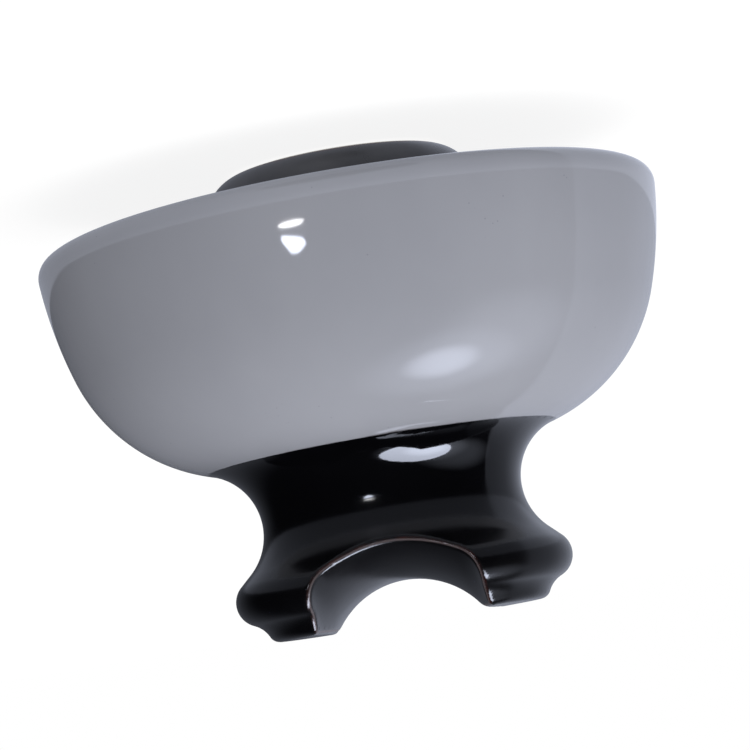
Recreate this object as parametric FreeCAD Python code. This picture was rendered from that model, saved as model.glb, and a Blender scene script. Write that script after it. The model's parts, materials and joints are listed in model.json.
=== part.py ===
import FreeCAD, Part
import math
import os
from FreeCAD import Vector

# Pin-type porcelain line insulator, two cemented shells and a threaded thimble.
# Units are millimetres. +Z points from the pin hole up to the crown, the origin lies
# on the pin axis in the plane of the foot ring, and the conductor saddle runs along Y.

# ---- outside of the head shell: crown, neck and skirt -------------------------------
HEIGHT = 104.4               # foot ring to top of crown
CROWN_TOP_RADIUS = 29.4      # flat top, up to the start of the rounded shoulder
SHOULDER_RADIUS = 2.5
SHOULDER_HEADING = -63.3
SHOULDER_FLAT = 0.22
SHOULDER_COVE = 6.15
COVE_HEADING = -23.4
CROWN_BEAD_RADIUS = 5.4      # the rounded bead that keeps the side tie in the neck
BEAD_HEADING = -137.1
NECK_SLOPE = 3.4
NECK_RADIUS = 13.9           # fillet of the tie-wire neck
NECK_HEADING = -16.5
DOME_RADIUS = 39.35
DOME_HEADING = -71.9
SKIRT_SIDE_RADIUS = 99.8
SKIRT_SIDE_HEADING = -85.2
RIM_ROLL_RADIUS = 4.7
RIM_ROLL_HEADING = -147.4
RIM_EDGE_RADIUS = 9.05
RIM_EDGE_HEADING = -181.0

# ---- underside of the skirt and the socket for the pin shell ------------------------
RIM_INNER_RADIUS = 5.0
WALL_HEADING = -262.0
WALL_HEIGHT = 12.0
INNER_DOME_RADIUS = 40.0
INNER_DOME_HEADING = -235.0
GAP_ROOF_RADIUS = 8.5
GAP_ROOF_HEADING = -105.0
SOCKET_LIP_RADIUS = 3.2
SOCKET_HEADING = -264.0      # 6 degrees of draft
SOCKET_DEPTH_Z = 67.0
SOCKET_CORNER_RADIUS = 9.5
CEMENT_RECESS = 1.0          # bare porcelain between the lip and the cement
SAND_START = 1.5             # bare porcelain between cement face and grit band
SAND_LENGTH = 11.5

# ---- conductor saddle across the crown ----------------------------------------------
SADDLE_FLOOR = 95.3          # height of the floor in the middle
SADDLE_CREST_RADIUS = 70.5   # the floor falls away towards both mouths on this radius
SADDLE_HALF_WIDTH = 18.6
SADDLE_MOUTH_Y = 33.0        # where the saddle runs out through the crown bead
SADDLE_BASE_RADIUS = 20.0    # radius of the floor across the groove, middle ...
SADDLE_BASE_GROWTH = 7.0     # ... and how much flatter it is at the mouths
SADDLE_SIDE_RADIUS = 12.0    # radius between floor and side, middle ...
SADDLE_SIDE_SHRINK = 3.0     # ... and how much tighter it is at the mouths
SADDLE_EDGE = 1.3            # rounding of the edge, on the glaze
SADDLE_EDGE_BODY = 1.0       # rounding of the edge, on the porcelain below
SADDLE_REACH_Y = 44.0        # the saddle is swept this far to both sides of the axis
SADDLE_CLEARANCE = 14.0      # and this far above the crown
SADDLE_SECTIONS = 9

# ---- pin shell (inner shell with the visible petticoat) -----------------------------
PIN_SHELL_TOP_Z = 64.5
PIN_SHELL_TOP_RADIUS = 15.5
PIN_SHELL_CORNER = 8.0
PIN_SHELL_HEADING = -84.0
PIN_SHELL_SIDE = 15.5
FLARE_COVE = 6.0
FLARE_HEADING = -45.0
PETTICOAT_RADIUS = 30.3
FOOT_CORNER = 8.4
FOOT_FLAT = 0.8
FOOT_INNER_EDGE = 1.2
BARE_FOOT_HEADING = -160.0   # the glaze stops here, short of the foot ring
PIN_SAND_START = 2.5
PIN_SAND_LENGTH = 11.0

# ---- bore of the pin shell ----------------------------------------------------------
BORE_HEADING = -268.4        # 1.6 degrees of draft
BORE_LEAD_Z = 4.8            # height of the cement face inside the bore
BORE_TOP_Z = 58.4
BORE_CORNER = 2.0
BORE_SAND_FROM_Z = 9.0
BORE_SAND_TO_Z = 50.0

# ---- zinc thimble and its thread, 1 in. pin, 4 threads per inch, 1:16 taper ----------
THIMBLE_TOP_Z = 56.5
THIMBLE_TOP_RADIUS = 13.45
THIMBLE_CORNER = 2.0
THIMBLE_HEADING = -88.4
THIMBLE_MOUTH_Z = 4.0
THIMBLE_MOUTH_EDGE = 0.6
KEY_GROOVE_Z = (45.0, 31.0, 17.0)
KEY_GROOVE_SWING = 40.0      # degrees the wall turns into each keying groove
KEY_GROOVE_EDGE = 1.0
KEY_GROOVE_RADIUS = 1.6
ENTRY_RADIUS = 14.8          # plain entry bore
ENTRY_TOP_Z = 10.0
PITCH = 6.35
THREAD_TOP_Z = 52.0
THREAD_ROOT_TOP_RADIUS = 12.7
THREAD_DEPTH = 1.6
THREAD_TAPER = 1.0 / 32.0    # growth of radius per mm towards the mouth
THREAD_HALF_WIDTH = 1.95     # half width of the groove at the crest radius
THREAD_FLANK_DEPTH = 0.9     # straight flank down to here, then the rounded root
THREAD_FLANK_SLOPE = 2.0 / 3.0
THREAD_OVERCUT = 0.6         # the groove is cut from this far inside the crest
THREAD_RUN_UP = 1.2          # and from this far above the top of the thread
RELIEF_RADIUS = 13.0
RELIEF_LEAD = 0.8            # height of the step from the last crest into the relief
RELIEF_TOP_Z = 54.0

# ---- thin layers --------------------------------------------------------------------
GLAZE = 0.35
SAND = 0.7
BITUMEN = 0.3
CUSHION_RADIUS = 12.0

# ---- modelling tolerances -----------------------------------------------------------
SAME_POINT = 1e-6
ON_SURFACE = 0.01
CORE_OVERRUN = 6.0           # the core cut out of the crown glaze runs this far below it


class Outline:
    """Half section walked with the material on the right hand side.

    Headings are degrees, 0 pointing away from the axis and -90 down. 'inset' moves
    the drawn line into the material without changing the path that is walked.
    """

    def __init__(self, r, z, heading, inset=0.0):
        self.r = r
        self.z = z
        self.heading = heading
        self.inset = inset
        self.edges = []
        self.first = self.drawn(r, z, heading)
        self.last = self.first

    def drawn(self, r, z, heading):
        angle = math.radians(heading)
        return Vector(r + self.inset * math.sin(angle), 0, z - self.inset * math.cos(angle))

    def straight(self, point):
        if self.last.distanceToPoint(point) > SAME_POINT:
            self.edges.append(Part.makeLine(self.last, point))
            self.last = point

    def line(self, length):
        angle = math.radians(self.heading)
        self.r += length * math.cos(angle)
        self.z += length * math.sin(angle)
        self.straight(self.drawn(self.r, self.z, self.heading))

    def to_z(self, z):
        self.line((z - self.z) / math.sin(math.radians(self.heading)))

    def to_r(self, r):
        self.line((r - self.r) / math.cos(math.radians(self.heading)))

    def turn(self, heading):
        self.heading = heading
        self.straight(self.drawn(self.r, self.z, heading))

    def arc(self, radius, heading):
        side = 1.0 if heading > self.heading else -1.0
        start = math.radians(self.heading)
        centre_r = self.r - side * radius * math.sin(start)
        centre_z = self.z + side * radius * math.cos(start)
        points = []
        for step in (self.heading, (self.heading + heading) / 2.0, heading):
            angle = math.radians(step)
            self.r = centre_r + side * radius * math.sin(angle)
            self.z = centre_z - side * radius * math.cos(angle)
            points.append(self.drawn(self.r, self.z, step))
        self.edges.append(Part.Arc(*points).toShape())
        self.heading = heading
        self.last = points[-1]

    def step_to(self, inset):
        self.inset = inset
        self.straight(self.drawn(self.r, self.z, self.heading))

    def place(self):
        return (self.r, self.z, self.heading)


def spin(edges):
    wire = Part.Wire(Part.__sortEdges__(edges))
    solid = Part.Face(wire).revolve(Vector(0, 0, 0), Vector(0, 0, 1), 360)
    return Part.makeSolid(solid) if solid.ShapeType == "Shell" else solid


def join(*points):
    ends = zip(points[:-1], points[1:])
    return [Part.makeLine(a, b) for a, b in ends if a.distanceToPoint(b) > SAME_POINT]


def layer(start, path, inner, outer):
    """Ring shaped layer between two insets of the same path."""
    inside = Outline(*start, inset=inner)
    path(inside)
    outside = Outline(*start, inset=outer)
    path(outside)
    ends = join(inside.first, outside.first) + join(inside.last, outside.last)
    return spin(inside.edges + outside.edges + ends)


# ---- paths --------------------------------------------------------------------------
def crown_path(pen):
    pen.line(CROWN_TOP_RADIUS)
    pen.arc(SHOULDER_RADIUS, SHOULDER_HEADING)
    pen.line(SHOULDER_FLAT)
    pen.arc(SHOULDER_COVE, COVE_HEADING)
    pen.arc(CROWN_BEAD_RADIUS, BEAD_HEADING)
    pen.line(NECK_SLOPE)
    pen.arc(NECK_RADIUS, NECK_HEADING)


def skirt_path(pen):
    pen.arc(DOME_RADIUS, DOME_HEADING)
    pen.arc(SKIRT_SIDE_RADIUS, SKIRT_SIDE_HEADING)
    pen.arc(RIM_ROLL_RADIUS, RIM_ROLL_HEADING)
    pen.arc(RIM_EDGE_RADIUS, RIM_EDGE_HEADING)
    pen.arc(RIM_INNER_RADIUS, WALL_HEADING)
    pen.line(WALL_HEIGHT)
    pen.arc(INNER_DOME_RADIUS, INNER_DOME_HEADING)
    pen.arc(GAP_ROOF_RADIUS, GAP_ROOF_HEADING)
    pen.arc(SOCKET_LIP_RADIUS, SOCKET_HEADING)


def socket_path(pen, band, end_r):
    pen.line(SAND_START)
    pen.step_to(band)
    pen.line(SAND_LENGTH)
    pen.step_to(0.0)
    rise = SOCKET_CORNER_RADIUS * (1 - math.cos(math.radians(-180 - SOCKET_HEADING)))
    pen.to_z(SOCKET_DEPTH_Z - rise)
    pen.arc(SOCKET_CORNER_RADIUS, -180.0)
    pen.to_r(end_r)


def pin_head_path(pen, band, start_r):
    pen.line(PIN_SHELL_TOP_RADIUS - start_r)
    pen.arc(PIN_SHELL_CORNER, PIN_SHELL_HEADING)
    pen.line(PIN_SHELL_SIDE - PIN_SAND_START - PIN_SAND_LENGTH)
    pen.step_to(band)
    pen.line(PIN_SAND_LENGTH)
    pen.step_to(0.0)
    pen.line(PIN_SAND_START)


def petticoat_path(pen):
    pen.arc(FLARE_COVE, FLARE_HEADING)
    swell = 1 - math.cos(math.radians(90.0 + FLARE_HEADING))
    pen.arc((PETTICOAT_RADIUS - pen.r) / swell, -90.0)
    pen.to_z(FOOT_CORNER)
    pen.arc(FOOT_CORNER, BARE_FOOT_HEADING)


def foot_path(pen):
    pen.arc(FOOT_CORNER, -180.0)
    pen.line(FOOT_FLAT)
    pen.arc(FOOT_INNER_EDGE, BORE_HEADING)
    pen.to_z(BORE_LEAD_Z)


def bore_path(pen, band, end_r):
    pen.to_z(BORE_SAND_FROM_Z)
    pen.step_to(band)
    pen.to_z(BORE_SAND_TO_Z)
    pen.step_to(0.0)
    rise = BORE_CORNER * (1 - math.cos(math.radians(-180 - BORE_HEADING)))
    pen.to_z(BORE_TOP_Z - rise)
    pen.arc(BORE_CORNER, -180.0)
    pen.to_r(end_r)


def thimble_side_path(pen):
    pen.arc(THIMBLE_CORNER, THIMBLE_HEADING)
    for groove_z in KEY_GROOVE_Z:
        pen.to_z(groove_z)
        pen.arc(KEY_GROOVE_EDGE, THIMBLE_HEADING - KEY_GROOVE_SWING)
        pen.arc(KEY_GROOVE_RADIUS, THIMBLE_HEADING + KEY_GROOVE_SWING)
        pen.arc(KEY_GROOVE_EDGE, THIMBLE_HEADING)
    pen.to_z(BORE_LEAD_Z)


def thimble_outer_path(pen):
    pen.line(THIMBLE_TOP_RADIUS)
    thimble_side_path(pen)


# ---- starting places found by walking the paths -------------------------------------
def place_after(start, *paths):
    pen = Outline(*start)
    for path in paths:
        path(pen)
    return pen.place()


def bare_lip(pen):
    pen.line(CEMENT_RECESS)


def pin_head(pen):
    pin_head_path(pen, 0.0, 0.0)


CROWN_START = (0.0, HEIGHT, 0.0)
GLAZE_LINE = place_after(CROWN_START, crown_path)
SOCKET_START = place_after(GLAZE_LINE, skirt_path, bare_lip)
PIN_SHELL_START = (0.0, PIN_SHELL_TOP_Z, 0.0)
PETTICOAT_START = place_after(PIN_SHELL_START, pin_head)
BORE_START = place_after(PETTICOAT_START, petticoat_path, foot_path)
THIMBLE_START = (0.0, THIMBLE_TOP_Z, 0.0)


# ---- conductor saddle ---------------------------------------------------------------
def saddle_section(y, grow):
    """Cross section of the saddle at one place along the conductor."""
    spread = (y / SADDLE_MOUTH_Y) ** 2
    crest = SADDLE_CREST_RADIUS - grow
    floor = SADDLE_FLOOR - SADDLE_CREST_RADIUS + math.sqrt(crest ** 2 - y ** 2)
    base = SADDLE_BASE_RADIUS + SADDLE_BASE_GROWTH * spread + grow
    side = SADDLE_SIDE_RADIUS - SADDLE_SIDE_SHRINK * spread + grow
    half = SADDLE_HALF_WIDTH + grow
    reach = base - side
    lean = math.asin((half - side) / reach)
    side_z = floor + base - reach * math.cos(lean)
    join_x = base * math.sin(lean)
    join_z = floor + base - base * math.cos(lean)
    middle = (lean + math.pi / 2.0) / 2.0
    curve_x = half - side + side * math.sin(middle)
    curve_z = side_z - side * math.cos(middle)
    top = HEIGHT + SADDLE_CLEARANCE

    def at(x, z):
        return Vector(x, y, z)

    edges = [
        Part.makeLine(at(-half, top), at(-half, side_z)),
        Part.Arc(at(-half, side_z), at(-curve_x, curve_z), at(-join_x, join_z)).toShape(),
        Part.Arc(at(-join_x, join_z), at(0, floor), at(join_x, join_z)).toShape(),
        Part.Arc(at(join_x, join_z), at(curve_x, curve_z), at(half, side_z)).toShape(),
        Part.makeLine(at(half, side_z), at(half, top)),
        Part.makeLine(at(half, top), at(-half, top)),
    ]
    return Part.Wire(edges)


def saddle_cutter(grow):
    step = 2.0 * SADDLE_REACH_Y / (SADDLE_SECTIONS - 1)
    sections = [saddle_section(k * step - SADDLE_REACH_Y, grow) for k in range(SADDLE_SECTIONS)]
    return Part.makeLoft(sections, True, False)


def cut_saddle(solid, grow, rounding):
    """Cut the saddle and round the edge where it meets the crown."""
    cutter = saddle_cutter(grow)
    carved = solid.cut(cutter)
    lip = []
    for edge in carved.Edges:
        first, last = edge.ParameterRange
        middle = Part.Vertex(edge.valueAt((first + last) / 2.0))
        on_cutter = middle.distToShape(cutter.Shells[0])[0] < ON_SURFACE
        on_crown = middle.distToShape(solid.Shells[0])[0] < ON_SURFACE
        if on_cutter and on_crown:
            lip.append(edge)
    return carved.makeFillet(rounding, lip)


# ---- sub-parts ----------------------------------------------------------------------
def head_shell():
    pen = Outline(*CROWN_START, inset=GLAZE)
    crown_path(pen)
    skirt_path(pen)
    pen.step_to(0.0)
    bare_lip(pen)
    socket_path(pen, 0.0, 0.0)
    solid = spin(pen.edges + join(pen.last, pen.first))
    return cut_saddle(solid, GLAZE, SADDLE_EDGE_BODY)


def crown_blank(inset, overrun):
    """Crown and neck down to the glaze line, before the saddle is cut."""
    pen = Outline(*CROWN_START, inset=inset)
    crown_path(pen)
    pen.step_to(GLAZE)
    base_z = pen.last.z - overrun
    ends = join(pen.last, Vector(pen.last.x, 0, base_z), Vector(0, 0, base_z), pen.first)
    return spin(pen.edges + ends)


def crown_glaze():
    skin = cut_saddle(crown_blank(0.0, 0.0), 0.0, SADDLE_EDGE)
    core = cut_saddle(crown_blank(GLAZE, CORE_OVERRUN), GLAZE, SADDLE_EDGE_BODY)
    return skin.cut(core)


def skirt_glaze():
    return layer(GLAZE_LINE, skirt_path, 0.0, GLAZE)


def pin_shell():
    pen = Outline(*PIN_SHELL_START)
    pin_head_path(pen, 0.0, 0.0)
    pen.step_to(GLAZE)
    petticoat_path(pen)
    pen.step_to(0.0)
    foot_path(pen)
    bore_path(pen, 0.0, 0.0)
    return spin(pen.edges + join(pen.last, pen.first))


def petticoat_glaze():
    return layer(PETTICOAT_START, petticoat_path, 0.0, GLAZE)


def head_sand_band():
    r, z, heading = SOCKET_START
    start = Outline(r, z, heading)
    start.line(SAND_START)
    return layer(start.place(), lambda pen: pen.line(SAND_LENGTH), 0.0, -SAND)


def pin_shell_sand_band():
    start = Outline(*PIN_SHELL_START)
    start.line(PIN_SHELL_TOP_RADIUS)
    start.arc(PIN_SHELL_CORNER, PIN_SHELL_HEADING)
    start.line(PIN_SHELL_SIDE - PIN_SAND_START - PIN_SAND_LENGTH)
    return layer(start.place(), lambda pen: pen.line(PIN_SAND_LENGTH), 0.0, -SAND)


def shell_cement():
    socket = Outline(*SOCKET_START)
    socket_path(socket, -SAND, CUSHION_RADIUS)
    shell = Outline(CUSHION_RADIUS, PIN_SHELL_TOP_Z, 0.0)
    pin_head_path(shell, -SAND, CUSHION_RADIUS)
    ends = join(socket.last, shell.first) + join(shell.last, socket.first)
    return spin(socket.edges + shell.edges + ends)


def shell_cushion_disc():
    return Part.makeCylinder(CUSHION_RADIUS, SOCKET_DEPTH_Z - PIN_SHELL_TOP_Z,
                             Vector(0, 0, PIN_SHELL_TOP_Z))


def thread_cutter():
    """Helical groove of the thimble thread, run from the relief out past the entry."""
    top_z = THREAD_TOP_Z + THREAD_RUN_UP
    crest = THREAD_ROOT_TOP_RADIUS - THREAD_DEPTH
    helix = Part.makeHelix(PITCH, top_z - ENTRY_TOP_Z + PITCH, crest,
                           math.degrees(math.atan(THREAD_TAPER)))

    def flank(depth, side):
        half_width = THREAD_HALF_WIDTH - depth * THREAD_FLANK_SLOPE
        return Vector(crest + depth, 0, side * half_width)

    root = Vector(crest + THREAD_DEPTH, 0, 0)
    inner = [flank(-THREAD_OVERCUT, side) for side in (-1, 1)]
    outer = [flank(THREAD_FLANK_DEPTH, side) for side in (-1, 1)]
    section = Part.Wire([
        Part.makeLine(inner[0], outer[0]),
        Part.Arc(outer[0], root, outer[1]).toShape(),
        Part.makeLine(outer[1], inner[1]),
        Part.makeLine(inner[1], inner[0]),
    ])
    groove = Part.Wire(helix).makePipeShell([section], True, True)
    groove.rotate(Vector(0, 0, 0), Vector(1, 0, 0), 180)
    groove.translate(Vector(0, 0, top_z))
    return groove


def thimble():
    pen = Outline(*THIMBLE_START)
    thimble_outer_path(pen)
    pen.to_z(THIMBLE_MOUTH_Z + THIMBLE_MOUTH_EDGE)
    pen.arc(THIMBLE_MOUTH_EDGE, -180.0)
    pen.to_r(ENTRY_RADIUS + THIMBLE_MOUTH_EDGE)
    pen.arc(THIMBLE_MOUTH_EDGE, -270.0)
    pen.to_z(ENTRY_TOP_Z)
    crest_top = THREAD_ROOT_TOP_RADIUS - THREAD_DEPTH
    crest_low = crest_top + (THREAD_TOP_Z - ENTRY_TOP_Z) * THREAD_TAPER
    lead = ENTRY_RADIUS - crest_low
    bore = join(
        pen.last,
        Vector(crest_low, 0, ENTRY_TOP_Z + lead),
        Vector(crest_top, 0, THREAD_TOP_Z),
        Vector(RELIEF_RADIUS, 0, THREAD_TOP_Z + RELIEF_LEAD),
        Vector(RELIEF_RADIUS, 0, RELIEF_TOP_Z),
        Vector(0, 0, RELIEF_TOP_Z),
        pen.first,
    )
    blank = spin(pen.edges + bore)
    return blank.cut(thread_cutter())


def thimble_bitumen_coat():
    return layer(THIMBLE_START, thimble_outer_path, 0.0, -BITUMEN)


def bore_sand_band():
    start = Outline(*BORE_START)
    start.to_z(BORE_SAND_FROM_Z)
    return layer(start.place(), lambda pen: pen.to_z(BORE_SAND_TO_Z), 0.0, -SAND)


def thimble_cement():
    bore = Outline(*BORE_START)
    bore_path(bore, -SAND, CUSHION_RADIUS)
    metal = Outline(CUSHION_RADIUS, THIMBLE_TOP_Z, 0.0, inset=-BITUMEN)
    metal.line(THIMBLE_TOP_RADIUS - CUSHION_RADIUS)
    thimble_side_path(metal)
    ends = join(bore.last, metal.first) + join(metal.last, bore.first)
    return spin(bore.edges + metal.edges + ends)


def thimble_cushion_disc():
    base_z = THIMBLE_TOP_Z + BITUMEN
    return Part.makeCylinder(CUSHION_RADIUS, BORE_TOP_Z - base_z, Vector(0, 0, base_z))


SUB_PARTS = (
    head_shell,
    crown_glaze,
    skirt_glaze,
    head_sand_band,
    shell_cement,
    shell_cushion_disc,
    pin_shell,
    petticoat_glaze,
    pin_shell_sand_band,
    bore_sand_band,
    thimble_cement,
    thimble_cushion_disc,
    thimble_bitumen_coat,
    thimble,
)

os.makedirs("parts", exist_ok=True)
for make in SUB_PARTS:
    shape = make()
    if len(shape.Solids) != 1 or not shape.isValid():
        raise RuntimeError("bad sub-part: " + make.__name__)
    solid = shape.Solids[0]
    solid.exportStep("parts/" + make.__name__ + ".step")
    box = solid.BoundBox
    print(make.__name__, round(solid.Volume / 1000.0, 2), "cm3",
          "r", round(box.XMax, 2), "z", round(box.ZMin, 2), round(box.ZMax, 2))
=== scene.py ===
import json
import math

import bmesh
import bpy
import numpy as np
from mathutils import Matrix, Vector


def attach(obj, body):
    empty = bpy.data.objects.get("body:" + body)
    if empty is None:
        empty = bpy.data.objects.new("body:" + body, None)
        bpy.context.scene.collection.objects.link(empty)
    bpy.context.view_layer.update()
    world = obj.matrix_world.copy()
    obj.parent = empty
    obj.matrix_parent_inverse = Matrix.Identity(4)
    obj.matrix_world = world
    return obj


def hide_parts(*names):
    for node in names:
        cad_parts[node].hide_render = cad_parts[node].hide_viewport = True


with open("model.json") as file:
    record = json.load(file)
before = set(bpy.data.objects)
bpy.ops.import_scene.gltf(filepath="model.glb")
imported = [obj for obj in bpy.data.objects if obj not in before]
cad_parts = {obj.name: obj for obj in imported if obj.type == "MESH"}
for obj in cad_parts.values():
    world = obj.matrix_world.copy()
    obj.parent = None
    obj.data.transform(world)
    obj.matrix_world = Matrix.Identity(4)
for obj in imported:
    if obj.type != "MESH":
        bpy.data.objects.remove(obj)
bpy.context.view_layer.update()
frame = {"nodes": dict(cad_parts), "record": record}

NODES = frame["nodes"]
MM = 0.001

# ---- sizes of the outer shells, in millimetres, as in the CAD model ------------------
HEIGHT = 104.4
DOME_RADIUS = 39.35
CROWN_START = (0.0, HEIGHT, 0.0)
CROWN_PATH = (
    ("line", 29.4),           # flat top
    ("arc", 2.5, -63.3),      # shoulder
    ("line", 0.22),
    ("arc", 6.15, -23.4),     # cove above the bead
    ("arc", 5.4, -137.1),     # crown bead
    ("line", 3.4),
    ("arc", 13.9, -16.5),     # tie-wire neck
)
SKIRT_PATH = (
    ("arc", DOME_RADIUS, -71.9),
    ("arc", 99.8, -85.2),     # side of the skirt
    ("arc", 4.7, -147.4),     # rim roll
    ("arc", 9.05, -181.0),    # rim edge
    ("arc", 5.0, -262.0),
    ("line", 12.0),           # inner wall
    ("arc", 40.0, -235.0),
    ("arc", 8.5, -105.0),     # roof of the air gap
    ("arc", 3.2, -264.0),     # socket lip
)
PIN_SHELL_START = (0.0, 64.5, 0.0)
PIN_HEAD_PATH = (
    ("line", 15.5),
    ("arc", 8.0, -84.0),
    ("line", 15.5),
)
PETTICOAT_RADIUS = 30.3
FOOT_CORNER = 8.4
BARE_FOOT_HEADING = -160.0
FLARE_COVE = 6.0
FLARE_HEADING = -45.0
GLAZE = 0.35

SADDLE_FLOOR = 95.3
SADDLE_CREST_RADIUS = 70.5
SADDLE_HALF_WIDTH = 18.6
SADDLE_MOUTH_Y = 33.0
SADDLE_BASE_RADIUS = 20.0
SADDLE_BASE_GROWTH = 7.0
SADDLE_SIDE_RADIUS = 12.0
SADDLE_SIDE_SHRINK = 3.0
SADDLE_EDGE = 1.3
LIP_WIDTH = SADDLE_EDGE * math.pi / 2.0

CROWN_SATIN_FROM = 74.0       # the black glaze loses its mirror gloss from here
CROWN_SATIN_TO = 84.0         # ... to here
GLAZE_LINE_HALF_WIDTH = 0.12  # grey turns to black over this much either way
GLAZE_LINE_WANDER = 0.9
FOOT_STAIN_FROM = 0.7         # the petticoat's brown stain is full up to here
FOOT_STAIN_TO = 1.6           # ... and gone from here
FOOT_STAIN_WANDER = 1.0
WORN_PLACE = 0.36 * LIP_WIDTH      # brown, thin black glaze along the saddle's lips
WORN_HALF_WIDTH = 0.26 * LIP_WIDTH
BARED_AND_HIGHLIGHT_PLACE = 0.58 * LIP_WIDTH     # ... and a paler line within it, partly bared body and partly painted highlight
BARED_AND_HIGHLIGHT_HALF_WIDTH = 0.22 * LIP_WIDTH
BARED_AND_HIGHLIGHT_AMOUNT = 0.75
GREY_GLAZE_IOR = 1.55
BLACK_GLAZE_IOR = 1.46
DARK_GLAZE_IOR = 1.5
TUCK = 0.012                  # the visible skin lies this far inside the CAD surface

# ---- fineness of the meshes: counts, and lengths in millimetres ----------------------
RING_SEGMENTS = 240
OUTLINE_STEP = 0.75           # between the points of an arc
LINE_STEP = 3.0 * OUTLINE_STEP
SMALL_ARC = 1.2               # smaller arcs get as many points as this radius
ARC_SWING = 0.12              # radians between the points of a small arc, about
LEAST_ARC_STEPS = 4
SAME_POINT = 1e-4             # points closer than this are one point
SEAM_SLACK = 0.02             # past the ends of a straight, or in radians past those of an arc
FAR_AWAY = 1e3
NEXT_ARC_HEADING = -40.0      # the dome is followed this far, to close the crown's field
SADDLE_STEP = 0.05            # for slopes of the saddle's rough distance
FIELD_STEP = 0.02             # for slopes of the crown's field
LEAST_SLOPE = 0.5             # flatter slopes count as this one
GRID_MM = 0.64
GRID_REACH = 41.1             # past the crown's bead on every side
GRID_BELOW = 2.4              # under the glaze line
GRID_ABOVE = 1.8              # over the top
SETTLE_PASSES = 8             # each pass moves the net's points nearer the surface
SETTLE_REACH = 0.5            # and by no more than this
CUT_SLACK = 0.03              # points this near the cut count as on it
RIM_SLACK = 0.035             # points this near the rim are put on it
TINY = 1e-6
SHARP_DEGREES = 35.0
CROWN_SHARP_DEGREES = 60.0


# ---- section outlines ----------------------------------------------------------------
class Outline:
    """Half section walked with the material on the right hand side, as in the CAD model.

    'segments' keeps every straight and arc for exact distances, 'points' a fine line.
    """

    def __init__(self, r, z, heading, inset=0.0):
        self.r, self.z, self.heading = r, z, heading
        self.inset = inset
        self.segments = []
        self.points = []
        self.mark(r, z, heading)

    def mark(self, r, z, heading):
        angle = math.radians(heading)
        point = (r + self.inset * math.sin(angle), z - self.inset * math.cos(angle))
        if not self.points or math.dist(point, self.points[-1]) > SAME_POINT:
            self.points.append(point)

    def line(self, length):
        angle = math.radians(self.heading)
        start = (self.r, self.z)
        count = max(1, int(length / LINE_STEP))
        for k in range(1, count + 1):
            self.r = start[0] + math.cos(angle) * length * k / count
            self.z = start[1] + math.sin(angle) * length * k / count
            self.mark(self.r, self.z, self.heading)
        self.segments.append(("line", start, angle, length))

    def arc(self, radius, heading):
        side = 1.0 if heading > self.heading else -1.0
        start = math.radians(self.heading)
        end = math.radians(heading)
        swing = abs(end - start)
        centre = (self.r - side * radius * math.sin(start), self.z + side * radius * math.cos(start))
        by_length = int(swing * max(radius, SMALL_ARC) / OUTLINE_STEP)
        count = max(LEAST_ARC_STEPS, by_length, int(swing / ARC_SWING))
        for k in range(1, count + 1):
            angle = start + (end - start) * k / count
            self.r = centre[0] + side * radius * math.sin(angle)
            self.z = centre[1] - side * radius * math.cos(angle)
            self.mark(self.r, self.z, math.degrees(angle))
        self.segments.append(("arc", centre, radius, side, start, end))
        self.heading = heading

    def walk(self, path):
        for kind, *values in path:
            getattr(self, kind)(*values)

    def place(self):
        return (self.r, self.z, self.heading)


def outline(start, path, inset=0.0):
    pen = Outline(*start, inset=inset)
    pen.walk(path)
    return pen


def outline_distance(segments, r, z):
    """Signed distance to an outline, positive on the air side."""
    best = np.full(r.shape, FAR_AWAY)
    for segment in segments:
        if segment[0] == "line":
            _, start, angle, length = segment
            along = (r - start[0]) * math.cos(angle) + (z - start[1]) * math.sin(angle)
            across = -(r - start[0]) * math.sin(angle) + (z - start[1]) * math.cos(angle)
            inside = (along >= -SEAM_SLACK) & (along <= length + SEAM_SLACK)
            distance = across
        else:
            _, centre, radius, side, start, end = segment
            middle = (start + end) / 2.0
            half = abs(end - start) / 2.0 + SEAM_SLACK
            outward_r = -side * (r - centre[0])
            outward_z = -side * (z - centre[1])
            heading = np.arctan2(-outward_r, outward_z)
            swing = (heading - middle + math.pi) % (2.0 * math.pi) - math.pi
            inside = np.abs(swing) <= half
            distance = -side * (np.hypot(r - centre[0], z - centre[1]) - radius)
        closer = inside & (np.abs(distance) < np.abs(best))
        best = np.where(closer, distance, best)
    return best


# ---- crown with the conductor saddle -------------------------------------------------
def saddle_distance(x, y, z):
    """Rough distance to the saddle surface, positive in the porcelain around it."""
    spread = (y / SADDLE_MOUTH_Y) ** 2
    floor = SADDLE_FLOOR - SADDLE_CREST_RADIUS + np.sqrt(SADDLE_CREST_RADIUS ** 2 - y ** 2)
    base = SADDLE_BASE_RADIUS + SADDLE_BASE_GROWTH * spread
    side = SADDLE_SIDE_RADIUS - SADDLE_SIDE_SHRINK * spread
    reach = base - side
    lean = np.arcsin((SADDLE_HALF_WIDTH - side) / reach)
    across = np.abs(x)
    side_z = floor + base - reach * np.cos(lean)
    to_floor = np.hypot(x, floor + base - z) - base
    to_corner = np.hypot(across - (SADDLE_HALF_WIDTH - side), side_z - z) - side
    to_side = across - SADDLE_HALF_WIDTH
    swing = np.arctan2(across, floor + base - z)
    under = np.where((swing <= lean) & (z < floor + base), to_floor, to_corner)
    return np.where(z > side_z, to_side, under)


def saddle_gap(x, y, z):
    """Distance to the saddle surface: the rough one over its own slope."""
    value = saddle_distance(x, y, z)
    dx = (saddle_distance(x + SADDLE_STEP, y, z) - value) / SADDLE_STEP
    dy = (saddle_distance(x, y + SADDLE_STEP, z) - value) / SADDLE_STEP
    dz = (saddle_distance(x, y, z + SADDLE_STEP) - value) / SADDLE_STEP
    return value / np.maximum(np.sqrt(dx * dx + dy * dy + dz * dz), LEAST_SLOPE)


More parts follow.
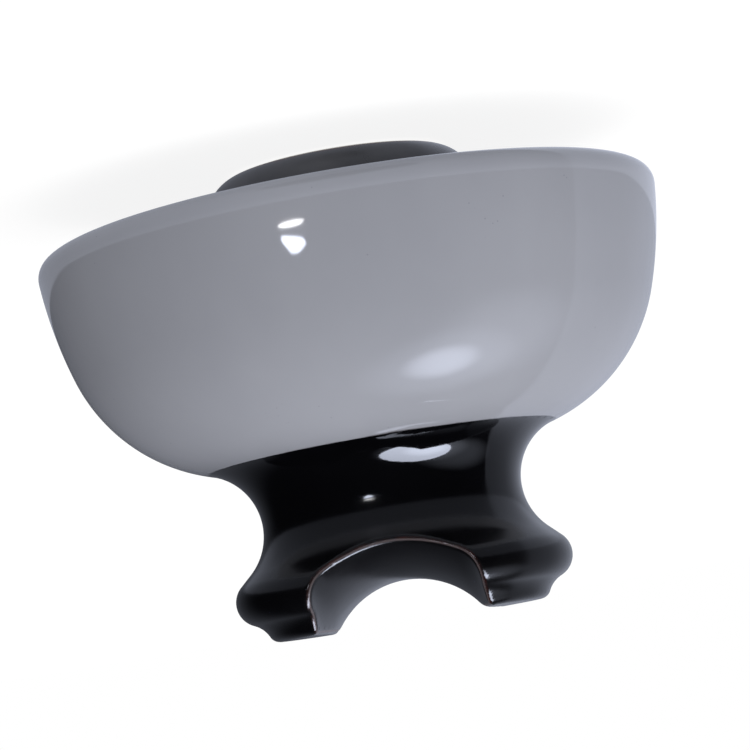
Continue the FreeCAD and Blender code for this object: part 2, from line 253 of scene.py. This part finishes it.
CROWN = outline(CROWN_START, CROWN_PATH)
GLAZE_LINE = CROWN.place()
GLAZE_RIM = outline(GLAZE_LINE, (), TUCK).points[0]
NEXT_ARC = outline(GLAZE_LINE, (("arc", DOME_RADIUS, NEXT_ARC_HEADING),))
CROWN_SEGMENTS = CROWN.segments + NEXT_ARC.segments


def crown_field(points):
    """Signed distance to the crown, negative in the porcelain, with a rounded saddle edge."""
    x, y, z = points[..., 0], points[..., 1], points[..., 2]
    round_body = outline_distance(CROWN_SEGMENTS, np.hypot(x, y), z)
    groove = -saddle_gap(x, y, z)
    both = (round_body > -SADDLE_EDGE) & (groove > -SADDLE_EDGE)
    corner = np.hypot(round_body + SADDLE_EDGE, groove + SADDLE_EDGE) - SADDLE_EDGE
    return np.where(both, corner, np.maximum(round_body, groove)) + TUCK


def gradient(points):
    slope = np.empty_like(points)
    for axis in range(3):
        step = np.zeros(3)
        step[axis] = FIELD_STEP
        slope[:, axis] = (crown_field(points + step) - crown_field(points - step)) / (2.0 * FIELD_STEP)
    return slope


def surface_net(field, low, high, size):
    """Quads of the zero surface of a field sampled on a grid, one vertex per crossed cell."""
    axes = [np.arange(low[k], high[k] + size, size) for k in range(3)]
    grid = np.stack(np.meshgrid(*axes, indexing="ij"), axis=-1)
    value = field(grid)
    inside = value < 0
    shape = np.array(value.shape) - 1
    cell_any = np.zeros(shape, bool)
    cell_all = np.ones(shape, bool)
    for i in (0, 1):
        for j in (0, 1):
            for k in (0, 1):
                part = inside[i:i + shape[0], j:j + shape[1], k:k + shape[2]]
                cell_any |= part
                cell_all &= part
    crossed = cell_any & ~cell_all
    index = -np.ones(shape, int)
    cells = np.argwhere(crossed)
    index[crossed] = np.arange(len(cells))
    vertices = np.array(low) + (cells + 0.5) * size
    quads = []
    for axis in range(3):
        a, b = [k for k in range(3) if k != axis]
        here = [slice(None)] * 3
        there = [slice(None)] * 3
        here[axis] = slice(0, -1)
        there[axis] = slice(1, None)
        first = inside[tuple(here)]
        second = inside[tuple(there)]
        for flip, change in ((False, first & ~second), (True, ~first & second)):
            at = np.argwhere(change)
            keep = (at[:, a] > 0) & (at[:, b] > 0) & (at[:, a] < shape[a]) & (at[:, b] < shape[b])
            at = at[keep]
            ring = []
            for da, db in ((-1, -1), (0, -1), (0, 0), (-1, 0)):
                cell = at.copy()
                cell[:, a] += da
                cell[:, b] += db
                ring.append(index[cell[:, 0], cell[:, 1], cell[:, 2]])
            ring = np.stack(ring, axis=1)
            if flip != (axis == 1):
                ring = ring[:, ::-1]
            quads.append(ring)
    return vertices, np.vstack(quads)


def crown_surface():
    """Points and faces of the crown down to the glaze line, and the edges of its open rim."""
    low = (-GRID_REACH, -GRID_REACH, GLAZE_RIM[1] - GRID_BELOW)
    high = (GRID_REACH, GRID_REACH, HEIGHT + GRID_ABOVE)
    vertices, quads = surface_net(crown_field, low, high, GRID_MM)
    for _ in range(SETTLE_PASSES):
        value = crown_field(vertices)
        slope = gradient(vertices)
        size = np.maximum((slope ** 2).sum(axis=1), LEAST_SLOPE ** 2)
        move = np.clip(value / size, -SETTLE_REACH, SETTLE_REACH)
        vertices = vertices - move[:, None] * slope
    mesh = bmesh.new()
    made = [mesh.verts.new(v) for v in vertices]
    for quad in quads.tolist():
        mesh.faces.new([made[k] for k in quad])
    every = mesh.verts[:] + mesh.edges[:] + mesh.faces[:]
    bmesh.ops.bisect_plane(mesh, geom=every, dist=CUT_SLACK, plane_co=(0, 0, GLAZE_RIM[1]),
                           plane_no=(0, 0, 1), clear_inner=True)
    loose = [v for v in mesh.verts if not v.link_faces]
    bmesh.ops.delete(mesh, geom=loose, context="VERTS")
    mesh.verts.index_update()
    points = np.array([v.co for v in mesh.verts])
    edge = points[:, 2] < GLAZE_RIM[1] + RIM_SLACK
    points[edge, 2] = GLAZE_RIM[1]
    scale = GLAZE_RIM[0] / np.hypot(points[edge, 0], points[edge, 1])
    points[edge, :2] *= scale[:, None]
    faces = [[v.index for v in face.verts] for face in mesh.faces]
    rim = [(e.link_loops[0].vert.index, e.link_loops[0].link_loop_next.vert.index)
           for e in mesh.edges if len(e.link_faces) == 1]
    mesh.free()
    return points, faces, rim


# ---- mesh helpers --------------------------------------------------------------------
def make_object(name, points, faces, sharp_degrees=SHARP_DEGREES):
    """Smooth-shaded object in the scene, from points in millimetres."""
    mesh = bpy.data.meshes.new(name)
    mesh.from_pydata([tuple(p) for p in np.asarray(points) * MM], [], faces)
    mesh.update()
    mesh.shade_smooth()
    mesh.set_sharp_from_angle(angle=math.radians(sharp_degrees))
    piece = bpy.data.objects.new(name, mesh)
    bpy.context.scene.collection.objects.link(piece)
    return piece


def lathe(name, loop):
    """Solid of revolution of a closed loop of (r, z), material on the right of the walk."""
    loop = np.array(loop)
    count = len(loop)
    angle = np.linspace(0, 2 * math.pi, RING_SEGMENTS, endpoint=False)
    x = loop[None, :, 0] * np.cos(angle)[:, None]
    y = loop[None, :, 0] * np.sin(angle)[:, None]
    z = np.broadcast_to(loop[None, :, 1], x.shape)
    points = np.stack([x, y, z], axis=-1).reshape(-1, 3)
    k = np.arange(RING_SEGMENTS)[:, None]
    i = np.arange(count)[None, :]
    near = k * count
    far = ((k + 1) % RING_SEGMENTS) * count
    following = (i + 1) % count
    faces = np.stack([near + i, near + following, far + following, far + i], axis=-1)
    return make_object(name, points, faces.reshape(-1, 4).tolist())


def layer_loop(start, path, inner, outer):
    """Closed loop between two insets of one path."""
    outside = outline(start, path, outer).points
    inside = outline(start, path, inner).points
    return outside + inside[::-1]


def crown_glaze_piece():
    """Closed coat: the crown's surface, the same surface one glaze deeper, and a band at the rim."""
    points, faces, rim = crown_surface()
    normals = gradient(points)
    normals /= np.linalg.norm(normals, axis=1)[:, None]
    end = math.radians(GLAZE_LINE[2])
    at_rim = points[:, 2] <= GLAZE_RIM[1] + TINY
    around = np.arctan2(points[:, 1], points[:, 0])
    flat = np.stack([-math.sin(end) * np.cos(around), -math.sin(end) * np.sin(around),
                     np.full(len(points), math.cos(end))], axis=1)
    normals[at_rim] = flat[at_rim]
    inner = points - normals * GLAZE
    count = len(points)
    every = np.vstack([points, inner])
    back = [[k + count for k in reversed(face)] for face in faces]
    ends = [[b, a, a + count, b + count] for a, b in rim]
    piece = make_object("crown_glaze_coat", every, faces + back + ends, CROWN_SHARP_DEGREES)
    across = lip_place(points)
    lip = piece.data.attributes.new("lip", "FLOAT", "POINT")
    lip.data.foreach_set("value", np.concatenate([across, across]).astype(np.float32))
    return piece


def lip_place(points):
    """Millimetres across the rounded lip: 0 where it leaves the crown, LIP_WIDTH at the saddle."""
    x, y, z = points[:, 0], points[:, 1], points[:, 2]
    groove = SADDLE_EDGE - saddle_gap(x, y, z)
    body = SADDLE_EDGE + outline_distance(CROWN_SEGMENTS, np.hypot(x, y), z)
    around = np.arctan2(np.maximum(groove, 0.0), np.maximum(body, TINY)) * SADDLE_EDGE
    place = around + np.minimum(groove, 0.0) - np.minimum(body, 0.0)
    return np.clip(place, -LIP_WIDTH, 2.0 * LIP_WIDTH)


# ---- node graph helpers --------------------------------------------------------------
NOISE_LOW = 0.3     # a noise texture is mostly between these two
NOISE_HIGH = 0.7


def put(tree, socket, value):
    """Set a socket, or link it where the value is another node's output."""
    if hasattr(value, "is_output"):
        tree.links.new(value, socket)
    else:
        socket.default_value = value


class Graph:
    """Short hand for building one procedural material."""

    def __init__(self, name):
        self.material = bpy.data.materials.new(name)
        self.material.use_nodes = True
        self.tree = self.material.node_tree
        self.shader = self.tree.nodes["Principled BSDF"]
        self.where = self.add("ShaderNodeTexCoord").outputs["Object"]

    def add(self, kind, **values):
        node = self.tree.nodes.new(kind)
        for key, value in values.items():
            setattr(node, key, value)
        return node

    def link(self, source, target):
        self.tree.links.new(source, target)

    def put(self, socket, value):
        put(self.tree, socket, value)

    def set(self, **values):
        for key, value in values.items():
            self.put(self.shader.inputs[key.replace("_", " ")], value)

    def math(self, operation, *values):
        node = self.add("ShaderNodeMath", operation=operation)
        for k, value in enumerate(values):
            self.put(node.inputs[k], value)
        return node.outputs[0]

    def noise(self, scale, detail=3.0, roughness=0.5, stretch=None):
        node = self.add("ShaderNodeTexNoise")
        node.inputs["Scale"].default_value = scale
        node.inputs["Detail"].default_value = detail
        node.inputs["Roughness"].default_value = roughness
        source = self.where
        if stretch:
            mapping = self.add("ShaderNodeMapping")
            mapping.inputs["Scale"].default_value = stretch
            self.link(self.where, mapping.inputs["Vector"])
            source = mapping.outputs[0]
        self.link(source, node.inputs["Vector"])
        return node.outputs["Fac"]

    def cells(self, scale):
        node = self.add("ShaderNodeTexVoronoi")
        node.inputs["Scale"].default_value = scale
        self.link(self.where, node.inputs["Vector"])
        return node.outputs["Distance"]

    def fit(self, value, low, high, to_low=0.0, to_high=1.0, smooth=False):
        node = self.add("ShaderNodeMapRange")
        if smooth:
            node.interpolation_type = "SMOOTHSTEP"
        self.put(node.inputs["Value"], value)
        node.inputs["From Min"].default_value = low
        node.inputs["From Max"].default_value = high
        node.inputs["To Min"].default_value = to_low
        node.inputs["To Max"].default_value = to_high
        return node.outputs["Result"]

    def spread(self, noise, to_low=0.0, to_high=1.0):
        """Stretch the usual swing of a noise to the given range."""
        return self.fit(noise, NOISE_LOW, NOISE_HIGH, to_low, to_high)

    def band(self, value, middle, half):
        """1 at the middle of a band and 0 half a band away on both sides."""
        off = self.math("ABSOLUTE", self.math("SUBTRACT", value, middle))
        return self.fit(off, 0.0, half, 1.0, 0.0, smooth=True)

    def mix(self, amount, first, second):
        node = self.add("ShaderNodeMix", data_type="RGBA")
        self.put(node.inputs["Factor"], amount)
        colours = [s for s in node.inputs if s.type == "RGBA"]
        self.put(colours[0], (*first, 1.0) if isinstance(first, tuple) else first)
        self.put(colours[1], (*second, 1.0) if isinstance(second, tuple) else second)
        return [s for s in node.outputs if s.type == "RGBA"][0]

    def bump(self, height, strength, distance, before=None):
        node = self.add("ShaderNodeBump")
        node.inputs["Strength"].default_value = strength
        node.inputs["Distance"].default_value = distance
        self.link(height, node.inputs["Height"])
        if before is not None:
            self.link(before, node.inputs["Normal"])
        return node.outputs["Normal"]

    def axis(self, letter):
        node = self.add("ShaderNodeSeparateXYZ")
        self.link(self.where, node.inputs[0])
        return node.outputs[letter]

    def attribute(self, name):
        return self.add("ShaderNodeAttribute", attribute_name=name).outputs["Fac"]


def give(piece, material):
    piece.data.materials.clear()
    piece.data.materials.append(material)


# ---- materials -----------------------------------------------------------------------
def near_glaze_line(g):
    """0 below the glaze line and 1 above it, with the small wander of a dipped edge."""
    wobble = g.math("MULTIPLY", g.math("SUBTRACT", g.noise(60.0, 3.0), 0.5), GLAZE_LINE_WANDER * MM)
    height = g.math("ADD", g.axis("Z"), wobble)
    middle = GLAZE_LINE[1] * MM
    half = GLAZE_LINE_HALF_WIDTH * MM
    return g.fit(height, middle - half, middle + half)


def grey_glaze():
    g = Graph("grey_glaze")
    cloud = g.noise(22.0, 4.0, 0.55)
    streak = g.noise(30.0, 3.0, 0.6, stretch=(1.0, 1.0, 0.22))
    tone = g.math("ADD", g.math("MULTIPLY", cloud, 0.6), g.math("MULTIPLY", streak, 0.4))
    base = g.mix(g.fit(tone, 0.35, 0.65), (0.341, 0.352, 0.402), (0.373, 0.384, 0.436))
    speck = g.fit(g.cells(520.0), 0.05, 0.11, 1.0, 0.0)
    rare = g.math("GREATER_THAN", g.noise(95.0, 2.0), 0.62)
    spotted = g.mix(g.math("MULTIPLY", g.math("MULTIPLY", speck, rare), 0.35), base, (0.10, 0.10, 0.12))
    lapped = g.mix(near_glaze_line(g), spotted, (0.035, 0.028, 0.030))
    ripple = g.noise(85.0, 2.0, 0.4)
    peel = g.noise(900.0, 2.0, 0.5)
    normal = g.bump(ripple, 0.06, 0.0006)
    normal = g.bump(peel, 0.02, 0.00006, normal)
    g.set(Base_Color=lapped, Roughness=g.spread(cloud, 0.035, 0.065), Normal=normal, IOR=GREY_GLAZE_IOR)
    return g.material


def black_glaze():
    """Glossy in the tie-wire neck, more satin on the crown, thin and brown on the saddle lips, with a
    pale line on the lips that is partly bared body and partly painted highlight.
    """
    g = Graph("black_glaze")
    cloud = g.noise(40.0, 3.0, 0.5)
    base = g.mix(g.spread(cloud), (0.0012, 0.0012, 0.0018), (0.0024, 0.0024, 0.0034))
    patchy = g.fit(g.noise(260.0, 3.0), 0.40, 0.70)
    worn = g.math("MULTIPLY", g.band(g.attribute("lip"), WORN_PLACE, WORN_HALF_WIDTH), patchy)
    # pale line along each saddle lip: partly bared body, partly a painted highlight where the lip's edge
    # catches the light
    bared_and_highlight = g.math("MULTIPLY", g.band(g.attribute("lip"), BARED_AND_HIGHLIGHT_PLACE, BARED_AND_HIGHLIGHT_HALF_WIDTH), BARED_AND_HIGHLIGHT_AMOUNT)
    brown = g.mix(worn, base, (0.034, 0.0090, 0.0070))
    pale = g.mix(bared_and_highlight, brown, (0.130, 0.100, 0.105))
    satin = g.fit(g.axis("Z"), CROWN_SATIN_FROM * MM, CROWN_SATIN_TO * MM, 0.055, 0.20, smooth=True)
    uneven = g.spread(g.noise(120.0, 3.0, 0.5), 0.85, 1.15)
    rough = g.math("ADD", g.math("MULTIPLY", satin, uneven), g.math("MULTIPLY", bared_and_highlight, 0.15))
    ripple = g.noise(70.0, 2.0, 0.45)
    peel = g.noise(700.0, 2.0, 0.5)
    normal = g.bump(ripple, 0.14, 0.0006)
    normal = g.bump(peel, 0.06, 0.00006, normal)
    g.set(Base_Color=pale, Roughness=rough, Normal=normal, IOR=BLACK_GLAZE_IOR)
    return g.material


def dark_glaze():
    g = Graph("dark_glaze")
    cloud = g.noise(55.0, 4.0, 0.55)
    base = g.mix(g.fit(cloud, 0.35, 0.65), (0.058, 0.060, 0.069), (0.084, 0.086, 0.098))
    height = g.axis("Z")
    wander = g.math("MULTIPLY", g.noise(300.0, 2.0), FOOT_STAIN_WANDER * MM)
    foot = g.fit(g.math("ADD", height, wander), FOOT_STAIN_FROM * MM, FOOT_STAIN_TO * MM, 1.0, 0.0)
    brown = g.mix(foot, base, (0.070, 0.026, 0.020))
    peel = g.noise(500.0, 3.0, 0.5)
    g.set(Base_Color=brown, Roughness=g.spread(cloud, 0.26, 0.36), IOR=DARK_GLAZE_IOR,
          Normal=g.bump(peel, 0.12, 0.0001))
    return g.material


def rough_stone(name, dark, light, grain, depth, roughness):
    """Matt granular surface: bare porcelain, grit band or cement."""
    g = Graph(name)
    coarse = g.noise(grain * 0.12, 4.0, 0.6)
    fine = g.noise(grain, 4.0, 0.6)
    base = g.mix(g.spread(coarse), dark, light)
    pits = g.fit(g.cells(grain * 0.8), 0.02, 0.25)
    shade = g.mix(g.math("MULTIPLY", pits, 0.25), base, dark)
    normal = g.bump(fine, 0.5, depth)
    g.set(Base_Color=shade, Roughness=g.spread(fine, roughness - 0.08, roughness + 0.08),
          Normal=g.bump(pits, 0.3, depth, normal))
    return g.material


def zinc():
    g = Graph("zinc")
    spangle = g.cells(260.0)
    cloud = g.noise(120.0, 4.0, 0.6)
    base = g.mix(g.spread(cloud), (0.30, 0.32, 0.34), (0.50, 0.52, 0.54))
    bloom = g.mix(g.fit(g.noise(45.0, 3.0), 0.52, 0.72), base, (0.60, 0.61, 0.60))
    g.set(Base_Color=bloom, Metallic=1.0, Roughness=g.fit(spangle, 0.1, 0.6, 0.36, 0.52),
          Normal=g.bump(cloud, 0.25, 0.00012))
    return g.material


def cork():
    g = Graph("cork")
    grain = g.cells(420.0)
    base = g.mix(g.fit(grain, 0.1, 0.6), (0.16, 0.085, 0.040), (0.42, 0.26, 0.14))
    g.set(Base_Color=base, Roughness=0.85, Normal=g.bump(grain, 0.6, 0.0003))
    return g.material


def bitumen():
    g = Graph("bitumen")
    cloud = g.noise(160.0, 4.0, 0.5)
    base = g.mix(g.spread(cloud), (0.006, 0.006, 0.006), (0.020, 0.018, 0.016))
    g.set(Base_Color=base, Roughness=g.spread(cloud, 0.32, 0.5), Normal=g.bump(cloud, 0.4, 0.0002))
    return g.material


MATERIALS = {
    "grey_glaze": grey_glaze(),
    "black_glaze": black_glaze(),
    "dark_glaze": dark_glaze(),
    "porcelain_body": rough_stone("porcelain_body", (0.52, 0.49, 0.44), (0.68, 0.65, 0.59),
                                  900.0, 0.00008, 0.62),
    "sand": rough_stone("sand", (0.34, 0.32, 0.29), (0.62, 0.60, 0.55), 1400.0, 0.0003, 0.8),
    "cement": rough_stone("cement", (0.27, 0.265, 0.25), (0.42, 0.41, 0.385), 700.0, 0.00018, 0.85),
    "zinc": zinc(),
    "cork": cork(),
    "bitumen": bitumen(),
}


# ---- pieces --------------------------------------------------------------------------
def petticoat_path():
    """Where the petticoat's glaze starts on the pin shell, and its way down to the bare foot."""
    pen = outline(PIN_SHELL_START, PIN_HEAD_PATH)
    start = pen.place()
    pen.arc(FLARE_COVE, FLARE_HEADING)
    swell = 1 - math.cos(math.radians(90.0 + FLARE_HEADING))
    radius = (PETTICOAT_RADIUS - pen.r) / swell
    pen.arc(radius, -90.0)
    drop = pen.z - FOOT_CORNER
    return start, (("arc", FLARE_COVE, FLARE_HEADING), ("arc", radius, -90.0), ("line", drop),
                   ("arc", FOOT_CORNER, BARE_FOOT_HEADING))


def place_piece(piece, node, slot):
    give(piece, MATERIALS[slot])
    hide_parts(node)
    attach(piece, "root")


CROWN_COAT = crown_glaze_piece()
SKIRT_COAT = lathe("skirt_glaze_coat", layer_loop(GLAZE_LINE, SKIRT_PATH, GLAZE, TUCK))
place_piece(CROWN_COAT, "crown_glaze", "black_glaze")
place_piece(SKIRT_COAT, "skirt_glaze", "grey_glaze")
PETTICOAT_START, PETTICOAT_PATH = petticoat_path()
place_piece(lathe("petticoat_glaze_coat", layer_loop(PETTICOAT_START, PETTICOAT_PATH, GLAZE, TUCK)),
            "petticoat_glaze", "dark_glaze")

for row in frame["record"]["subparts"]:
    node = NODES[row["node"]]
    if not node.hide_render:
        give(node, MATERIALS[row["material_slot"]])


# ---- camera at the photographed angle ------------------------------------------------
ELEVATION = math.radians(5.36)
ROLL = math.radians(170.52)
YAW = math.radians(4.0)     # turns camera and studio round the part
SENSOR_MM = 36.0
LENS_MM = 151.152
CLIP_START = 0.05
CLIP_END = 50.0
AIM = Vector((-1.01, 0.0, 48.78)) * MM
DISTANCE = 708.2 * MM

forward = Vector((0.0, math.cos(ELEVATION), -math.sin(ELEVATION)))
level = Vector((1.0, 0.0, 0.0))
upright = level.cross(forward)
right = math.cos(ROLL) * level + math.sin(ROLL) * upright
up = -math.sin(ROLL) * level + math.cos(ROLL) * upright
turn = Matrix.Rotation(-YAW, 3, "Z")
forward, right, up = turn @ forward, turn @ right, turn @ up
aim = turn @ AIM

camera_data = bpy.data.cameras.new("camera")
camera_data.sensor_width = SENSOR_MM
camera_data.lens = LENS_MM
camera_data.clip_start = CLIP_START
camera_data.clip_end = CLIP_END
camera = bpy.data.objects.new("camera", camera_data)
bpy.context.scene.collection.objects.link(camera)
facing = Matrix((right, up, -forward)).transposed().to_4x4()
camera.matrix_world = Matrix.Translation(aim - DISTANCE * forward) @ facing
bpy.context.scene.camera = camera


# ---- studio --------------------------------------------------------------------------
# Sizes and places of lamps and walls are in metres. Soft lights around the object: direction,
# cosine where the glow starts and where it is full, strength. Matt shading uses the broad
# set, reflections the set with real edges.
BROAD_LIGHTS = (
    ((0.00, -1.00, 0.00), 0.30, 1.0, 0.08),     # front
    ((-0.45, -0.78, 0.42), 0.30, 1.0, 0.12),
    ((0.45, -0.78, -0.42), 0.30, 1.0, 0.06),
    ((-0.17, -0.30, 0.94), 0.30, 1.0, 1.48),    # over the crown
    ((-0.80, -0.10, 0.55), 0.30, 1.0, 0.58),
    ((0.10, -0.25, -0.96), 0.30, 1.0, 1.04),    # glow from under the foot
)
REFLECTED_LIGHTS = (
    ((-0.68, 0.73, 0.00), 0.70, 0.72, 0.35),    # upright panel behind the shell
    ((-0.50, 0.87, 0.00), 0.85, 1.0, 0.10),
    ((-0.62, -0.12, 0.78), 0.86, 1.0, 0.7),
    ((-0.33, -0.10, 0.94), 0.90, 1.0, 1.2),     # haze around the lamp over the crown
    ((-0.33, -0.12, 0.94), 0.975, 1.0, 3.6),
    ((0.00, 1.00, 0.10), 0.50, 1.0, 0.10),
)
REFLECTED_COLOUR = (0.84, 0.90, 1.08, 1.0)
SURROUND = 0.01
LAMP_REACH = 0.9                            # from the point that the camera aims at
CATCH_RADIANCE = 25.0
BAR_DIRECTION = (-0.31, -0.04, 0.95)        # in the camera's right, up and back
BAR_WIDTH = 0.14
BAR_HEIGHT = 0.026
UMBRELLA_DIRECTION = (-0.305, -0.125, 0.95)
UMBRELLA_WIDTH = 0.125
UMBRELLA_HEIGHT = 0.066
UMBRELLA_SEGMENTS = 60
UMBRELLA_CORNER = 0.16
SOFT_BOX_DIRECTION = (-0.27, -0.20, 0.94)
SOFT_BOX_SIZE = 0.58
SOFT_BOX_RADIANCE = 13.0
WALL_RADIUS = 0.34
WALL_GAP = 0.002                            # between the two walls
WALL_TOP = -0.002
WALL_BOTTOM = -1.2
WALL_SEGMENTS = 96
TABLE_WALL_RADIANCE = 0.24
SKIRT_WALL_RADIANCE = 0.60                  # at the front, fading to none at the back
FLOOR_SEGMENTS = 96
FLOOR_RADIUS = 6.0
FLOOR_DROP = 0.0002                         # under the foot, so that the two don't touch
FLOOR_COLOUR = (0.16, 0.16, 0.16, 1.0)
FLOOR_GLOW = 0.88
WHITE = (1.0, 1.0, 1.0, 1.0)


def from_camera(place):
    """Direction given in the camera's right, up and back."""
    sideways, upward, backward = place
    return (sideways * right + upward * up - backward * forward).normalized()


def area_lamp(name, shape, width, height, radiance):
    """Elliptical area light of a given radiance."""
    light = bpy.data.lights.new(name, "AREA")
    light.shape = shape
    light.size = width
    light.size_y = height
    light.energy = radiance * math.pi * width * height * math.pi / 4.0
    return light


def hang(light, direction):
    """Hang a lamp in a direction from the object, facing it."""
    holder = bpy.data.objects.new(light.name, light)
    holder.location = aim + direction * LAMP_REACH
    holder.rotation_mode = "QUATERNION"
    holder.rotation_quaternion = (-direction).to_track_quat("-Z", "Y")
    bpy.context.scene.collection.objects.link(holder)
    return holder


def catch_light():
    """Small bar lamp mirrored in the grey glaze."""
    light = area_lamp("catch_light_bar", "ELLIPSE", BAR_WIDTH, BAR_HEIGHT, CATCH_RADIANCE)
    hang(light, from_camera(BAR_DIRECTION))


def light_only(source, receivers):
    """Light linking: the source reaches these pieces and no others."""
    group = bpy.data.collections.new(source.name + "_receivers")
    for piece in receivers:
        group.objects.link(piece)
    source.light_linking.receiver_collection = group


def mirrored_panel(name, points, faces, radiance, back_radiance, receivers=()):
    """Glowing veil that shows only as a reflection, and lets what is behind it through.

    Its strength runs from radiance at the front to back_radiance at the back.
    """
    mesh = bpy.data.meshes.new(name)
    mesh.from_pydata(points, [], faces)
    panel = bpy.data.objects.new(name, mesh)
    bpy.context.scene.collection.objects.link(panel)
    panel.visible_camera = False
    panel.visible_diffuse = False
    panel.visible_shadow = False
    material = bpy.data.materials.new(name)
    material.use_nodes = True
    tree = material.node_tree
    tree.nodes.remove(tree.nodes["Principled BSDF"])
    glow = tree.nodes.new("ShaderNodeEmission")
    glow.inputs["Color"].default_value = REFLECTED_COLOUR
    place = tree.nodes.new("ShaderNodeSeparateXYZ")
    tree.links.new(tree.nodes.new("ShaderNodeTexCoord").outputs["Generated"], place.inputs[0])
    fade = tree.nodes.new("ShaderNodeMapRange")
    fade.inputs["To Min"].default_value = radiance
    fade.inputs["To Max"].default_value = back_radiance
    tree.links.new(place.outputs["Y"], fade.inputs["Value"])
    tree.links.new(fade.outputs["Result"], glow.inputs["Strength"])
    both = tree.nodes.new("ShaderNodeAddShader")
    tree.links.new(glow.outputs[0], both.inputs[0])
    tree.links.new(tree.nodes.new("ShaderNodeBsdfTransparent").outputs[0], both.inputs[1])
    tree.links.new(both.outputs[0], tree.nodes["Material Output"].inputs["Surface"])
    give(panel, material)
    if receivers:
        light_only(panel, receivers)


def table_wall(name, radius, radiance, back_radiance, receivers=()):
    """Round wall below the foot's level, whose top edge shows in the neck and along the rim."""
    points = []
    for k in range(WALL_SEGMENTS):
        angle = 2.0 * math.pi * k / WALL_SEGMENTS
        for z in (WALL_TOP, WALL_BOTTOM):
            points.append((radius * math.cos(angle), radius * math.sin(angle), z))
    last = 2 * WALL_SEGMENTS
    faces = [(k, (k + 2) % last, (k + 3) % last, k + 1) for k in range(0, last, 2)]
    mirrored_panel(name, points, faces, radiance, back_radiance, receivers)


def umbrella():
    """Lamp with the outline of a rounded triangle, its point down."""
    centre = aim + from_camera(UMBRELLA_DIRECTION) * LAMP_REACH
    across = UMBRELLA_WIDTH / 2.0 * right
    upward = UMBRELLA_HEIGHT / 2.0 * up
    points = []
    for k in range(UMBRELLA_SEGMENTS):
        angle = 2.0 * math.pi * k / UMBRELLA_SEGMENTS
        swell = 1.0 - UMBRELLA_CORNER * math.sin(3.0 * angle)
        points.append(centre + swell * (math.cos(angle) * across - math.sin(angle) * upward))
    mirrored_panel("umbrella", points, [tuple(range(UMBRELLA_SEGMENTS))], CATCH_RADIANCE, CATCH_RADIANCE)


def soft_box():
    """Large lamp over the crown, which makes the streak in the black neck."""
    light = area_lamp("soft_box", "DISK", SOFT_BOX_SIZE, SOFT_BOX_SIZE, SOFT_BOX_RADIANCE)
    light.color = REFLECTED_COLOUR[:3]
    holder = hang(light, (turn @ Vector(SOFT_BOX_DIRECTION)).normalized())
    holder.visible_diffuse = False
    return holder


def light_sum(tree, rows, colour):
    """Background shader that adds up soft lights on the sphere of directions."""
    direction = tree.nodes.new("ShaderNodeTexCoord").outputs["Generated"]
    total = SURROUND
    for place, start, full, strength in rows:
        facing = tree.nodes.new("ShaderNodeVectorMath")
        facing.operation = "DOT_PRODUCT"
        tree.links.new(direction, facing.inputs[0])
        facing.inputs[1].default_value = (turn @ Vector(place)).normalized()
        glow = tree.nodes.new("ShaderNodeMapRange")
        glow.interpolation_type = "SMOOTHSTEP"
        glow.inputs["From Min"].default_value = start
        glow.inputs["From Max"].default_value = full
        glow.inputs["To Max"].default_value = strength
        tree.links.new(facing.outputs["Value"], glow.inputs["Value"])
        add = tree.nodes.new("ShaderNodeMath")
        put(tree, add.inputs[0], glow.outputs["Result"])
        put(tree, add.inputs[1], total)
        total = add.outputs[0]
    shader = tree.nodes.new("ShaderNodeBackground")
    shader.inputs["Color"].default_value = colour
    tree.links.new(total, shader.inputs["Strength"])
    return shader.outputs[0]


def studio_world():
    """White to the camera, the reflected lights to glossy rays and the broad ones to the rest."""
    world = bpy.data.worlds.new("studio")
    world.use_nodes = True
    tree = world.node_tree
    backdrop = tree.nodes["Background"]
    backdrop.inputs["Color"].default_value = WHITE
    backdrop.inputs["Strength"].default_value = 1.0
    path = tree.nodes.new("ShaderNodeLightPath")
    mirrored = tree.nodes.new("ShaderNodeMixShader")
    tree.links.new(path.outputs["Is Glossy Ray"], mirrored.inputs["Fac"])
    tree.links.new(light_sum(tree, BROAD_LIGHTS, WHITE), mirrored.inputs[1])
    tree.links.new(light_sum(tree, REFLECTED_LIGHTS, REFLECTED_COLOUR), mirrored.inputs[2])
    seen = tree.nodes.new("ShaderNodeMixShader")
    tree.links.new(path.outputs["Is Camera Ray"], seen.inputs["Fac"])
    tree.links.new(mirrored.outputs[0], seen.inputs[1])
    tree.links.new(backdrop.outputs[0], seen.inputs[2])
    tree.links.new(seen.outputs[0], tree.nodes["World Output"].inputs["Surface"])
    bpy.context.scene.world = world


def pale_floor():
    """White table that only the camera sees, so that it takes a faint shadow and no more."""
    bpy.ops.mesh.primitive_circle_add(vertices=FLOOR_SEGMENTS, radius=FLOOR_RADIUS, fill_type="NGON",
                                      location=(0.0, 0.0, -FLOOR_DROP))
    floor = bpy.context.object
    floor.name = "floor"
    floor.visible_diffuse = False
    floor.visible_glossy = False
    floor.visible_shadow = False
    material = bpy.data.materials.new("floor")
    material.use_nodes = True
    shader = material.node_tree.nodes["Principled BSDF"]
    shader.inputs["Base Color"].default_value = FLOOR_COLOUR
    shader.inputs["Roughness"].default_value = 1.0
    shader.inputs["Specular IOR Level"].default_value = 0.0
    shader.inputs["Emission Color"].default_value = WHITE
    shader.inputs["Emission Strength"].default_value = FLOOR_GLOW
    give(floor, material)


studio_world()
pale_floor()
catch_light()
umbrella()
table_wall("table_wall", WALL_RADIUS, TABLE_WALL_RADIANCE, TABLE_WALL_RADIANCE)
table_wall("skirt_wall", WALL_RADIUS + WALL_GAP, SKIRT_WALL_RADIANCE, 0.0, (SKIRT_COAT,))
light_only(soft_box(), (CROWN_COAT,))

bpy.context.scene.view_settings.view_transform = "Standard"
